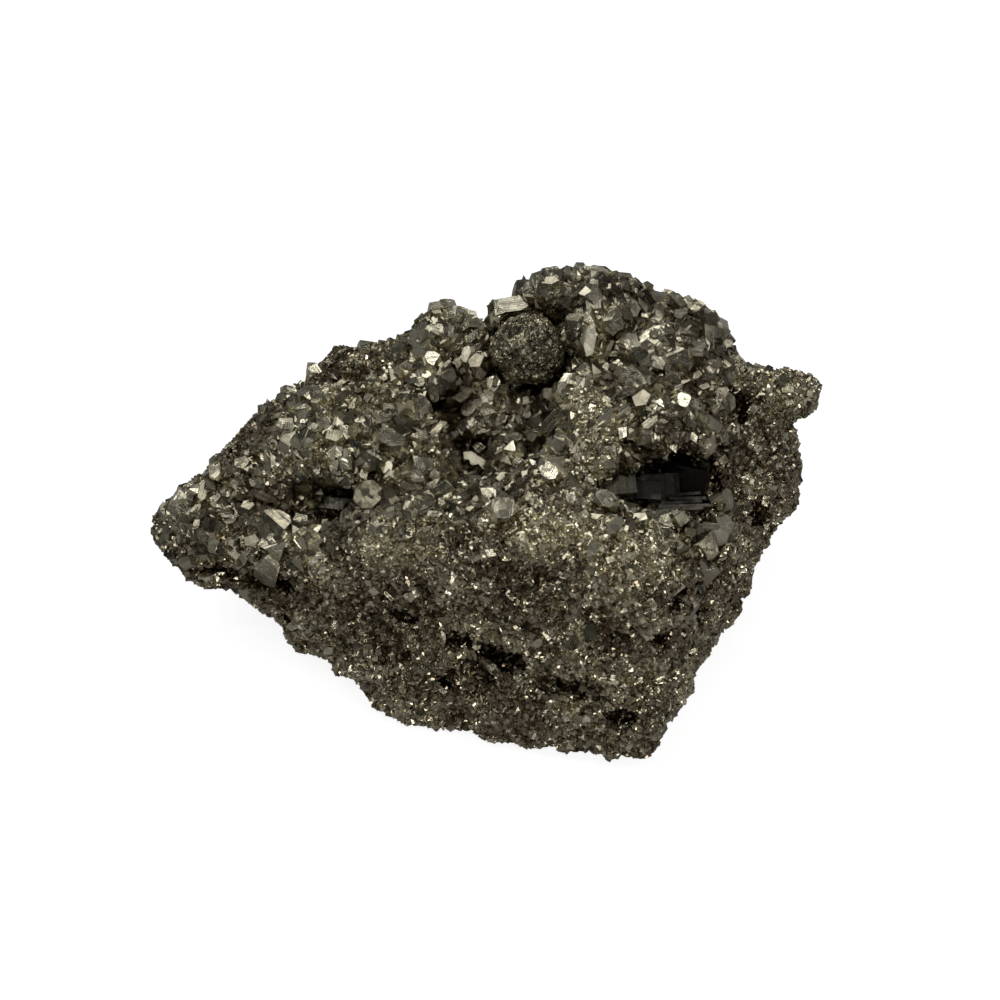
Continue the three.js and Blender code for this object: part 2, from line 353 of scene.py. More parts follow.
@dataclass(frozen=True)
class PyriteFinish:
    """How the metal looks on one kind of surface: colours, gloss, facets, tarnish and painted shade."""

    name: str
    bright: Colour
    dull: Colour
    tarnish_and_shade_colour: Colour
    roughness: Span
    facets_per_metre: float
    facet_depth: float
    tarnish_amount: float = 0.5
    line_depth: float = 0.0
    facet_shading: Span = (-0.15, 0.15)
    tone_roughness: float = 0.6
    tarnish_roughness: Span = (0.0, 0.4)

    def material(self, effects: Effects) -> bpy.types.Material:
        """Builds the material.

        Args:
            effects: The shared shader node groups.

        Returns:
            The new material.
        """
        material = bpy.data.materials.new(self.name)
        material.use_nodes = True
        bench = Bench(material.node_tree)
        shader = material.node_tree.nodes["Principled BSDF"]
        shader.inputs["Metallic"].default_value = 1.0

        tone = bench.add("ShaderNodeAttribute", attribute_name="tone").outputs["Fac"]
        # The pit attribute holds painted shade: how far hollows, clefts and gaps are darkened.
        pit = bench.add("ShaderNodeAttribute", attribute_name="pit").outputs["Fac"]
        facets = bench.add("ShaderNodeGroup", {"Scale": self.facets_per_metre}, node_tree=effects.facets)
        patches = {"Pit": pit, "Amount": self.tarnish_amount}
        tarnish = bench.add("ShaderNodeGroup", patches, node_tree=effects.tarnish).outputs["Mask"]

        shading = bench.spread(facets.outputs["Shade"], WHOLE, self.facet_shading)
        metal = bench.blend(bench.reckon("ADD", tone, shading), self.dull, self.bright)
        # Tarnish patches and painted shade turn the base colour towards the dark colour.
        bench.tree.links.new(bench.blend(tarnish, metal, self.tarnish_and_shade_colour), shader.inputs["Base Color"])

        wear = bench.reckon("MULTIPLY", tone, self.tone_roughness)
        wear = bench.reckon("ADD", wear, bench.spread(tarnish, WHOLE, self.tarnish_roughness))
        bench.tree.links.new(bench.spread(wear, WHOLE, self.roughness), shader.inputs["Roughness"])

        tilts = {"Height": facets.outputs["Height"], "Distance": self.facet_depth}
        bump = bench.add("ShaderNodeBump", tilts)
        if self.line_depth:
            along = bench.add("ShaderNodeAttribute", attribute_name="growth").outputs["Fac"]
            growth = bench.add("ShaderNodeGroup", {"Along": along}, node_tree=effects.growth)
            ridges = {"Height": growth.outputs["Height"], "Distance": self.line_depth}
            lines = bench.add("ShaderNodeBump", ridges)
            bench.tree.links.new(lines.outputs["Normal"], bump.inputs["Normal"])
        bench.tree.links.new(bump.outputs["Normal"], shader.inputs["Normal"])
        return material


GRAIN_FINISH = PyriteFinish(
    name="granular_pyrite",
    bright=(0.90, 0.84, 0.63, 1.0),
    dull=(0.30, 0.26, 0.175, 1.0),
    tarnish_and_shade_colour=(0.14, 0.11, 0.072, 1.0),
    roughness=(0.10, 0.30),
    facets_per_metre=3500.0,
    facet_depth=0.16,
)
CRYSTAL_FINISH = PyriteFinish(
    name="crystal_pyrite",
    bright=(0.93, 0.875, 0.67, 1.0),
    dull=(0.235, 0.225, 0.155, 1.0),
    tarnish_and_shade_colour=(0.12, 0.096, 0.064, 1.0),
    roughness=(0.08, 0.26),
    facets_per_metre=1500.0,
    facet_depth=0.08,
    tarnish_amount=0.45,
    line_depth=0.02 * MM,
)
FROSTED_FINISH = PyriteFinish(
    name="frosted_pyrite",
    bright=(0.94, 0.89, 0.66, 1.0),
    dull=(0.42, 0.375, 0.25, 1.0),
    tarnish_and_shade_colour=(0.16, 0.125, 0.078, 1.0),
    roughness=(0.14, 0.34),
    facets_per_metre=4000.0,
    facet_depth=0.3,
)
NODULE_FINISH = PyriteFinish(
    name="wrinkled_pyrite",
    bright=(0.92, 0.84, 0.58, 1.0),
    dull=(0.15, 0.135, 0.09, 1.0),
    tarnish_and_shade_colour=(0.055, 0.048, 0.032, 1.0),
    roughness=(0.12, 0.34),
    facets_per_metre=6000.0,
    facet_depth=0.2,
)
# A darker copy of the crystal finish: its colours are painted shade for the plates in the cleft.
SHADED_BLADE_FINISH = PyriteFinish(
    name="cleft_pyrite",
    bright=(0.34, 0.31, 0.23, 1.0),
    dull=(0.13, 0.12, 0.09, 1.0),
    tarnish_and_shade_colour=(0.022, 0.020, 0.018, 1.0),
    roughness=(0.16, 0.36),
    facets_per_metre=1500.0,
    facet_depth=0.08,
    line_depth=0.04 * MM,
)


# ------------------------------------------------------------
# Crystals, modelled once and copied
# ------------------------------------------------------------


OCTAHEDRON_NORMALS = tuple((x, y, z) for x in (-1, 1) for y in (-1, 1) for z in (-1, 1))
PYRITOHEDRON_NORMALS = tuple(
    normal
    for one in (-1, 1)
    for two in (-2, 2)
    for normal in ((0, one, two), (one, two, 0), (two, 0, one))
)
SPLINTER_NORMALS = ((1, 0.3, 0.5), (-0.4, 1, 0.2), (-1, -0.6, 0.3), (0.2, -1, 0.7), (0.5, 0.4, -1))
SHARD_NORMALS = ((1, 1, 0.2), (-1, 0.8, 0.4), (0.3, -1, -0.5), (-0.2, 0.1, 1), (0.4, -0.5, 1))
UNIT_CUT_WELD = 1e-5
UNIT_CORNER = 1e-4


@dataclass(frozen=True)
class Cuts:
    """How a crystal is cut from a cube: the cube's width, the cuts' directions and how far out they lie."""

    width: float
    normals: tuple[Point, ...] = ()
    distance: float = 0.0


class Habit(Enum):
    """The shapes that pyrite grows in, each about one unit wide."""

    BLOCK = Cuts(1.0)
    CHIPPED = Cuts(1.0, ((1, 1, 1), (-1, -1, 1), (1, -1, -1)), 0.52)
    CORNERED = Cuts(1.0, OCTAHEDRON_NORMALS, 0.68)
    SPLINTER = Cuts(1.0, SPLINTER_NORMALS, 0.38)
    SHARD = Cuts(1.0, SHARD_NORMALS, 0.36)
    OCTAHEDRON = Cuts(2.0, OCTAHEDRON_NORMALS, 0.46)
    PYRITOHEDRON = Cuts(2.0, PYRITOHEDRON_NORMALS, 0.52)


@dataclass
class Prototype:
    """One crystal of unit size: its corners, its faces and where growth lines run on them."""

    corners: Array
    faces: list[list[int]]
    growth: Array


def growth_lines(piece: bpy.types.Object) -> Array:
    """Says how far across its face each corner of a piece lies, square to the face's longest edge.

    Args:
        piece: A crystal with flat faces.

    Returns:
        One length for each face corner.
    """
    mesh = piece.data
    along = np.zeros(len(mesh.loops))
    for face in mesh.polygons:
        ring = [mesh.vertices[i].co for i in face.vertices]
        edges = [ring[i] - ring[i - 1] for i in range(len(ring))]
        longest = max(edges, key=lambda edge: edge.length).normalized()
        across = face.normal.cross(longest)
        for loop, corner in zip(face.loop_indices, ring):
            along[loop] = corner.dot(across)
    return along


def model_crystal(habit: Habit) -> Prototype:
    """Models one crystal of unit size by cutting a cube.

    Args:
        habit: The shape it grows in.

    Returns:
        The finished crystal, as numbers to copy.
    """
    cuts = habit.value
    bpy.ops.object.select_all(action="DESELECT")
    bpy.ops.mesh.primitive_cube_add(size=cuts.width)
    piece = bpy.context.active_object
    with editing(piece):
        for normal in cuts.normals:
            outward = Vector(normal).normalized()
            slice_off(outward * cuts.distance, outward, UNIT_CUT_WELD)
        bpy.ops.mesh.select_all(action="SELECT")
        bpy.ops.mesh.remove_doubles(threshold=UNIT_CORNER)
        bpy.ops.mesh.normals_make_consistent(inside=False)
    made = Prototype(
        corners=vertex_places(piece).astype(float),
        faces=[list(face.vertices) for face in piece.data.polygons],
        growth=growth_lines(piece),
    )
    bpy.data.objects.remove(piece)
    return made


@dataclass
class Growth:
    """Crystals to be placed: where, how turned, how large, how bright and how much painted shade each has."""

    places: Array
    turns: Array
    sizes: Array
    tones: Array
    pits: Array

    def part(self, chosen: Array) -> "Growth":
        """Gives the chosen crystals alone."""
        return Growth(*(values[chosen] for values in vars(self).values()))


def standing_turns(normals: Array, spread: float, draw: np.random.Generator) -> Array:
    """Draws turns that stand each crystal's upward axis near the surface normal under it.

    Args:
        normals: The normals under the crystals.
        spread: How far the crystals lean: 0 keeps them upright and 2 favours no direction.
        draw: The source of random numbers.

    Returns:
        One 3 by 3 rotation matrix for each.
    """
    up = normals + draw.normal(0, spread, normals.shape)
    up /= np.linalg.norm(up, axis=1, keepdims=True)
    side = np.cross(up, draw.normal(size=normals.shape))
    side /= np.linalg.norm(side, axis=1, keepdims=True)
    return np.stack([side, np.cross(up, side), up], axis=2)


def faceted_piece(name: str, points: Array, rings: Array, counts: Array) -> bpy.types.Object:
    """Makes a new piece from its corners and its flat faces.

    Args:
        name: The piece's name.
        points: The corners, as rows of x, y and z.
        rings: The corner at each face corner, face after face.
        counts: How many corners each face has.

    Returns:
        The new object.
    """
    mesh = bpy.data.meshes.new(name)
    mesh.vertices.add(len(points))
    mesh.vertices.foreach_set("co", points.astype(np.float32).ravel())
    mesh.loops.add(len(rings))
    mesh.loops.foreach_set("vertex_index", rings.astype(np.int32))
    mesh.polygons.add(len(counts))
    mesh.polygons.foreach_set("loop_start", (np.cumsum(counts) - counts).astype(np.int32))
    mesh.update(calc_edges=True)
    mesh.shade_flat()
    piece = bpy.data.objects.new(name, mesh)
    bpy.context.scene.collection.objects.link(piece)
    return piece


class CrystalStock:
    """One crystal of each habit, to be copied."""

    def __init__(self) -> None:
        """Models the crystals."""
        self.models = {habit: model_crystal(habit) for habit in Habit}

    def grow(
        self,
        name: str,
        growth: Growth,
        habits: dict[Habit, float],
        material: bpy.types.Material,
        draw: np.random.Generator,
    ) -> bpy.types.Object:
        """Makes one piece of many crystals, each a copy of a modelled one.

        Args:
            name: The piece's name.
            growth: Where and how the crystals stand.
            habits: Each habit and its share of the crystals.
            material: Their finish.
            draw: The source of random numbers.

        Returns:
            The finished piece.
        """
        kinds = list(habits)
        shares = np.array(list(habits.values()))
        picks = draw.choice(len(kinds), len(growth.places), p=shares / shares.sum())
        points, rings, counts, tones, pits, along = [], [], [], [], [], []
        first = 0
        for pick, kind in enumerate(kinds):
            some = growth.part(picks == pick)
            model = self.models[kind]
            shaped = model.corners[None] * some.sizes[:, None, :]
            turned = np.einsum("nij,nkj->nki", some.turns, shaped) + some.places[:, None, :]
            points.append(turned.reshape(-1, 3))
            starts = first + np.arange(len(turned)) * len(model.corners)
            rings.append((starts[:, None] + np.concatenate(model.faces)[None]).ravel())
            counts.append(np.tile([len(face) for face in model.faces], len(turned)))
            tones.append(np.repeat(some.tones, len(model.corners)))
            pits.append(np.repeat(some.pits, len(model.corners)))
            along.append((some.sizes.mean(1)[:, None] * model.growth[None]).ravel())
            first += len(turned) * len(model.corners)
        piece = faceted_piece(name, np.concatenate(points), np.concatenate(rings), np.concatenate(counts))
        set_attribute(piece, "tone", "POINT", np.concatenate(tones))
        set_attribute(piece, "pit", "POINT", np.concatenate(pits))
        set_attribute(piece, "growth", "CORNER", np.concatenate(along))
        piece.data.materials.append(material)
        return piece


# ------------------------------------------------------------
# The mass
# ------------------------------------------------------------


@dataclass(frozen=True)
class Zone:
    """A rounded stretch of the chunk: its middle and its half-axes in millimetres, and how far it counts."""

    at: Point
    reach: Point
    share: float = 1.0


def zone_shares(places: Array, zones: tuple[Zone, ...]) -> Array:
    """Says how far each place belongs to each of some zones, fading out round each one.

    Args:
        places: Rows of x, y and z, in metres.
        zones: The zones.

    Returns:
        One row for each zone, with its share at each place.
    """
    rows = []
    for zone in zones:
        away = ((places / MM - np.array(zone.at)) / np.array(zone.reach)) ** 2
        rows.append(zone.share * np.exp(-0.5 * away.sum(1) ** 1.5))
    return np.array(rows)


def zone_share(places: Array, zones: tuple[Zone, ...]) -> Array:
    """Says how far each place belongs to any of some zones.

    Args:
        places: Rows of x, y and z, in metres.
        zones: The zones.

    Returns:
        A share from 0 to 1 for each place.
    """
    if not zones:
        return np.zeros(len(places))
    return zone_shares(places, zones).max(0)


# Clefts cut out of the mass, which is also darkened in them with painted shade.
CLEFTS = (
    Zone((18.2, -0.9, 19.6), (5.2, 2.8, 2.9)),
    Zone((13.4, -2.3, 20.7), (3.0, 2.2, 1.8), 0.9),
    Zone((24.6, 8.4, 18.6), (1.8, 1.9, 1.7)),
    Zone((-1.0, 3.2, 18.0), (2.2, 2.8, 1.6), 0.45),
    Zone((-4.3, 8.0, 20.3), (1.8, 1.4, 1.6), 0.7),
    Zone((5.9, 10.3, 20.4), (2.5, 1.8, 2.0), 0.8),
    Zone((9.3, 12.9, 24.6), (1.6, 1.3, 1.2), 0.7),
    Zone((18.0, 7.4, 22.8), (2.0, 1.0, 0.9), 0.7),
    Zone((-14.8, 1.1, 15.0), (2.6, 1.6, 0.9), 0.55),
    Zone((-21.7, 0.2, 14.4), (2.2, 1.5, 1.0), 0.5),
    Zone((-23.2, -1.7, 13.6), (2.8, 1.2, 0.8), 0.4),
    Zone((-27.5, -5.2, 10.0), (2.8, 1.6, 0.7), 0.8),
    Zone((-24.0, -6.2, 10.2), (3.2, 1.6, 0.8), 0.8),
    Zone((-19.5, -7.6, 11.0), (2.6, 1.4, 0.8), 0.6),
)
# Zones where the mass is darkened with painted shade, under overhangs and in hollows.
PAINTED_SHADE_ZONES = (
    Zone((-24.0, -6.5, 8.0), (9.0, 4.0, 3.0), 0.4),
    Zone((-18.5, -2.2, 15.2), (4.6, 1.8, 2.0), 0.4),
    Zone((-2.0, 2.0, 18.6), (5.0, 3.6, 2.5), 0.25),
    Zone((16.0, -3.0, 20.0), (6.0, 4.0, 3.0), 0.3),
    Zone((0.9, -12.9, 25.6), (1.5, 1.4, 1.4), 0.6),
    Zone((4.8, -15.6, 22.8), (2.6, 1.6, 2.0), 0.55),
    Zone((12.5, -11.0, 25.2), (2.6, 1.2, 1.4), 0.4),
    Zone((20.0, -8.5, 22.4), (1.6, 3.4, 1.6), 0.6),
    Zone((20.0, -13.6, 21.0), (1.4, 2.4, 3.4), 0.5),
)
SWELLS = (
    Zone((32.1, 8.4, 12.6), (2.5, 2.5, 3.0), -0.5),
    Zone((32.2, 10.6, 18.2), (2.0, 2.5, 2.2), 0.45),
    Zone((23.7, 17.0, 22.5), (2.0, 2.0, 2.0), -0.5),
    Zone((31.6, 8.2, 14.0), (1.6, 2.0, 1.4), -0.5),
    Zone((28.2, 14.0, 19.5), (2.5, 2.5, 2.5), -0.6),
    Zone((0.3, 18.2, 22.7), (2.0, 2.5, 2.5), -0.9),
    Zone((-8.5, 17.3, 20.2), (2.5, 2.5, 2.5), 0.2),
    Zone((-12.8, 16.8, 19.1), (2.5, 2.5, 2.5), 0.5),
    Zone((-23.2, 12.3, 16.0), (2.5, 2.5, 2.5), -0.5),
    Zone((-29.6, 5.0, 12.2), (2.5, 2.5, 2.5), 0.3),
    Zone((-29.8, -5.3, 8.8), (2.0, 2.5, 2.0), 0.7),
    Zone((-25.5, -6.4, 6.6), (1.5, 2.5, 1.8), -0.7),
    Zone((-18.6, -9.5, 3.4), (2.5, 2.5, 2.0), 0.6),
    Zone((-12.4, -15.4, 2.4), (2.5, 2.5, 2.0), -1.1),
    Zone((-3.4, -18.6, 1.8), (3.0, 2.5, 1.5), -0.5),
    Zone((3.4, -19.8, 1.4), (2.5, 2.5, 1.5), 0.5),
    Zone((6.2, 19.2, 3.0), (1.6, 1.6, 1.6), -1.0),
    Zone((22.7, -13.9, 7.0), (2.5, 2.5, 3.0), -1.6),
    Zone((26.3, -4.2, 8.1), (2.5, 3.0, 3.0), 0.9),
)
PITS = (
    Zone((-7.9, -12.7, 12.8), (1.2, 1.5, 0.8)),
    Zone((-2.6, -15.0, 11.9), (1.5, 1.7, 1.0)),
    Zone((1.6, -16.9, 11.9), (2.7, 2.3, 1.7)),
    Zone((-3.6, -16.7, 7.6), (1.4, 1.5, 0.8)),
    Zone((8.3, -18.9, 9.5), (1.9, 2.0, 1.2)),
    Zone((13.1, -20.6, 7.4), (1.8, 1.9, 1.1)),
    Zone((5.0, -18.3, 6.0), (0.9, 1.2, 0.6)),
    Zone((20.9, -11.4, 21.8), (1.6, 1.5, 1.3)),
    Zone((20.7, -12.2, 13.5), (1.4, 1.3, 2.2)),
    Zone((18.0, -16.5, 20.8), (1.1, 1.3, 1.6)),
    Zone((17.0, -16.6, 16.4), (1.2, 1.4, 1.4)),
    Zone((-19.7, -8.5, 6.4), (1.2, 1.2, 0.8)),
    Zone((-1.9, 10.1, 21.6), (1.3, 1.0, 1.6)),
    Zone((-9.5, -9.6, 19.6), (1.0, 1.0, 0.8)),
    Zone((12.6, -17.6, 16.8), (0.9, 1.2, 0.8)),
    Zone((27.2, -0.6, 12.8), (1.4, 1.3, 1.6)),
    Zone((12.0, 20.5, 12.0), (3.4, 1.8, 1.8)),
    Zone((-9.0, 18.0, 9.0), (3.0, 2.2, 1.4)),
    Zone((22.0, 15.5, 9.0), (2.0, 1.8, 2.4)),
    Zone((30.5, 3.0, 7.0), (1.5, 2.2, 1.4)),
)


@dataclass(frozen=True)
class Relief:
    """One layer of bumps, in millimetres: its pattern, how far apart they are and how high."""

    pattern: str
    across: float
    height: float

    def raise_on(self, piece: bpy.types.Object) -> None:
        """Raises the bumps on a piece.

        Args:
            piece: The mesh object to change.
        """
        texture = bpy.data.textures.new(self.pattern.title(), self.pattern)
        texture.noise_scale = self.across * MM
        finish_modifier(
            piece,
            "DISPLACE",
            texture=texture,
            texture_coords="LOCAL",
            strength=-self.height * MM,
            mid_level=0.5,
        )


@dataclass(frozen=True)
class Hollows:
    """How hollows are found: how often a copy is smoothed, and how many millimetres under it count as 1."""

    rounds: int
    full_depth: float

    def found_on(self, piece: bpy.types.Object) -> Array:
        """Says how far each point of a piece lies in a hollow.

        Args:
            piece: The mesh object to measure.

        Returns:
            A share from 0 to 1 for each vertex.
        """
        normals = vertex_normals(piece).astype(float)
        places = vertex_places(piece).astype(float)
        smooth = bpy.data.objects.new("smooth_copy", piece.data.copy())
        bpy.context.scene.collection.objects.link(smooth)
        finish_modifier(smooth, "SMOOTH", factor=0.5, iterations=self.rounds)
        sunk = np.einsum("ij,ij->i", vertex_places(smooth) - places, normals)
        bpy.data.objects.remove(smooth)
        return np.clip(sunk / (self.full_depth * MM), 0, 1)


@dataclass
class Skin:
    """The mass's finished surface, as triangles to grow crystals on."""

    corners: Array
    normals: Array
    areas: Array
    pits: Array

    @classmethod
    def of(cls, piece: bpy.types.Object) -> "Skin":
        """Reads the surface of a piece that has a pit attribute on its points.

        Args:
            piece: The mass.

        Returns:
            Its skin.
        """
        mesh = piece.data
        mesh.calc_loop_triangles()
        rings = np.empty(len(mesh.loop_triangles) * 3, np.int32)
        mesh.loop_triangles.foreach_get("vertices", rings)
        rings = rings.reshape(-1, 3)
        corners = vertex_places(piece).astype(float)[rings]
        cross = np.cross(corners[:, 1] - corners[:, 0], corners[:, 2] - corners[:, 0])
        length = np.linalg.norm(cross, axis=1)
        pits = np.empty(len(mesh.vertices), np.float32)
        mesh.attributes["pit"].data.foreach_get("value", pits)
        smooth = vertex_normals(piece).astype(float)[rings].mean(1)
        return cls(corners, smooth, length / 2, pits[rings].mean(1))

    def spots(self, count: int, weight: Array, draw: np.random.Generator) -> tuple[Array, Array, Array]:
        """Draws spots on the surface.

        Args:
            count: How many.
            weight: How readily crystals grow on each triangle.
            draw: The source of random numbers.

        Returns:
            The spots' places, and the normals and the painted shade there.
        """
        chance = self.areas * weight
        picks = draw.choice(len(self.areas), count, p=chance / chance.sum())
        share = np.sort(draw.random((count, 2)), axis=1)
        split = np.stack([share[:, 0], share[:, 1] - share[:, 0], 1 - share[:, 1]], axis=1)
        places = np.einsum("nk,nkj->nj", split, self.corners[picks])
        return places, self.normals[picks], self.pits[picks]


@dataclass
class GranularMass:
    """The intergrown mass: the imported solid, pitted and grown over with relief down to single grains."""

    voxel: float = 0.34 * MM
    plug_growth: float = 1.3
    plug_drop: float = 0.9 * MM
    ball_rounds: int = 3
    smoothing: int = 5
    crust_depth: float = 0.42 * MM
    relief: tuple[Relief, ...] = (
        Relief("CLOUDS", 4.5, 2.0),
        Relief("VORONOI", 2.4, 1.0),
        Relief("VORONOI", 0.9, 0.45),
    )
    jitter: float = 0.07 * MM
    jitter_seed: int = 7
    small_hollows: Hollows = Hollows(60, 0.8)
    valleys: Hollows = Hollows(500, 2.5)
    # Painted shade: a darkening of the whole mass between the grains, more in valleys and under the druse.
    gap_painted_shade: float = 0.25
    valley_painted_shade: float = 0.6
    druse_painted_shade: float = 0.3
    tone_spread: Span = (1.2, 2.4)
    tone_seed: int = 11

    def build(self, material: bpy.types.Material) -> bpy.types.Object:
        """Builds the mass and gives it its finish.

        Args:
            material: The granular finish.

        Returns:
            The finished piece.
        """
        piece = copy_of_node(MASS_NODE, "granular_mass")
        self._fill_seats(piece)
        finish_modifier(piece, "REMESH", mode="VOXEL", voxel_size=self.voxel)
        self._cut_pits(piece)
        finish_modifier(piece, "REMESH", mode="VOXEL", voxel_size=self.voxel)
        finish_modifier(piece, "SMOOTH", factor=0.5, iterations=self.smoothing)
        finish_modifier(piece, "DISPLACE", strength=-self.crust_depth, mid_level=0.0)
        self._swell(piece)
        for layer in self.relief:
            layer.raise_on(piece)
        # The pit attribute carries the painted shade.
        set_attribute(piece, "pit", "POINT", self._tarnish(piece))
        self._roughen(piece)
        draw = np.random.default_rng(self.tone_seed)
        set_attribute(piece, "tone", "FACE", draw.beta(*self.tone_spread, len(piece.data.polygons)))
        piece.data.shade_flat()
        piece.data.materials.append(material)
        return piece

    def _fill_seats(self, piece: bpy.types.Object) -> None:
        """Joins a lowered, enlarged copy of each crystal to the mass, so that no gap shows under it.

        Args:
            piece: The mass.
        """
        for node in crystal_nodes():
            plug = copy_of_node(node, "seat_filling")
            places = vertex_places(plug)
            middle = places.mean(0)
            places = middle + (places - middle) * self.plug_growth
            places[:, 2] -= self.plug_drop
            move_vertices(plug, places)
            take_up(piece)
            plug.select_set(True)
            bpy.ops.object.join()

    def _cut_pits(self, piece: bpy.types.Object) -> None:
        """Cuts the clefts and the small pits out of the mass.

        Args:
            piece: The mass.
        """
        balls = []
        for pit in CLEFTS + PITS:
            middle = [value * MM for value in pit.at]
            bpy.ops.object.select_all(action="DESELECT")
            bpy.ops.mesh.primitive_ico_sphere_add(
                subdivisions=self.ball_rounds, radius=MM, location=middle, scale=pit.reach
            )
            balls.append(bpy.context.active_object)
        cutter = balls[0]
        take_up(cutter)
        for ball in balls:
            ball.select_set(True)
        bpy.ops.object.join()
        finish_modifier(cutter, "REMESH", mode="VOXEL", voxel_size=self.voxel)
        finish_modifier(piece, "BOOLEAN", operation="DIFFERENCE", solver="EXACT", object=cutter)
        bpy.data.objects.remove(cutter)

    def _swell(self, piece: bpy.types.Object) -> None:
        """Lets the worn rim bulge a little in some zones and shrink in others.

        Args:
            piece: The mass.
        """
        places = vertex_places(piece).astype(float)
        push = zone_shares(places, SWELLS).sum(0) * MM
        move_vertices(piece, places + vertex_normals(piece) * push[:, None])

    def _tarnish(self, piece: bpy.types.Object) -> Array:
        """Works out the painted shade on the mass: in its hollows, its clefts and between the crystals.

        Args:
            piece: The mass.

        Returns:
            A share from 0 to 1 for each vertex.
        """
        dark = self.small_hollows.found_on(piece) + self.valley_painted_shade * self.valleys.found_on(piece)
        places = vertex_places(piece)
        dark = dark + zone_share(places, CLEFTS) + zone_share(places, PAINTED_SHADE_ZONES)
        dark += self.druse_painted_shade * zone_share(places, DRUSE_ZONES)
        return np.clip(self.gap_painted_shade + dark, 0, 1)

    def _roughen(self, piece: bpy.types.Object) -> None:
        """Shifts each vertex a little, so that every facet faces its own way, and keeps the foot flat.

        Args:
            piece: The mass.
        """
        draw = np.random.default_rng(self.jitter_seed)
        places = vertex_places(piece).astype(float)
        places += draw.normal(0, self.jitter, places.shape)
        places[:, 2] = np.maximum(places[:, 2], 0)
        move_vertices(piece, places)


# ------------------------------------------------------------
# The crust and the druse
# ------------------------------------------------------------


DRUSE_ZONES = (
    Zone((10, 16, 26), (8, 5, 5)),
    Zone((19, 14, 24), (7, 6, 5)),
    Zone((14, 8, 24), (8, 5, 5), 0.8),
    Zone((-3, 13, 22), (5, 5, 5)),
    Zone((3, 3, 20), (10, 6, 6), 0.9),
    Zone((-4, -4, 20), (7, 4, 5), 0.8),
    Zone((-19, -4, 16), (8, 3, 4), 0.8),
    Zone((18, -7, 22), (6, 5, 5), 0.7),
    Zone((-14, 3, 19), (9, 6, 4), 0.85),
    Zone((-25, 0, 13.5), (7, 4, 2.2), 0.6),
    Zone((14.5, -7.5, 24), (4.5, 2, 2.5)),
)
FROSTED_ZONES = (
    Zone((9.4, 4.6, 24.3), (2.6, 2.6, 2.0)),
    Zone((10.2, 0.0, 24.4), (2.2, 2.4, 2.0), 0.7),
    Zone((5.2, -12.6, 26.0), (2.4, 2.2, 1.8), 0.8),
    Zone((10.2, -12.6, 25.4), (1.6, 1.4, 1.6), 0.4),
    Zone((13.6, -14.4, 24.6), (2.6, 1.7, 1.6), 0.7),
    Zone((12.1, -17.3, 20.4), (2.0, 1.6, 1.8), 0.7),
    Zone((-12.4, 9.0, 20.4), (2.8, 2.2, 2.0), 0.8),
    Zone((-5.6, 3.8, 19.4), (1.8, 1.8, 2.0), 0.7),
    Zone((-10.0, -10.2, 21.2), (2.6, 2.0, 2.0), 0.9),
    Zone((-18.0, 2.6, 18.4), (3.4, 1.2, 1.4), 0.8),
)
OPEN_ZONES = (Zone((2.6, 14.6, 25.0), (3.6, 2.6, 3.0)),)
COARSE_SHIFT = 3.0
SHADED_SHIFT = 9.0
GLITTERING_SHIFT = 4.0


def patchiness(places: Array, across: float, shift: float) -> Array:
    """Draws a soft random pattern over the chunk.

    Args:
        places: Rows of x, y and z, in metres.
        across: How wide its patches are, in metres.
        shift: How far the pattern is shifted, in patches.

    Returns:
        A share from 0 to 1 for each place.
    """
    values = [noise.noise(Vector(place / across + shift)) for place in places]
    return np.clip(0.5 + np.array(values), 0, 1)


class Side(Enum):
    """The stretches that the crust is made in."""

    FRONT = "front_crust"
    RIGHT = "right_crust"
    BACK = "back_crust"
    LEFT = "left_crust"
    CROWN = "crown_crust"


CROWN_FLOOR = 15.0 * MM
LEFT_END = -8.0 * MM
RIGHT_START = 17.0 * MM


def sides_of(places: Array) -> Array:
    """Says which stretch of crust each place belongs to.

    Args:
        places: Rows of x, y and z, in metres.

    Returns:
        The stretch's name for each place.
    """
    x, y, z = places.T
    stretches = {
        Side.CROWN: (z > CROWN_FLOOR) & (x >= LEFT_END),
        Side.LEFT: x < LEFT_END,
        Side.RIGHT: x > RIGHT_START,
        Side.FRONT: y < 0,
    }
    return np.select(list(stretches.values()), [side.value for side in stretches], Side.BACK.value)


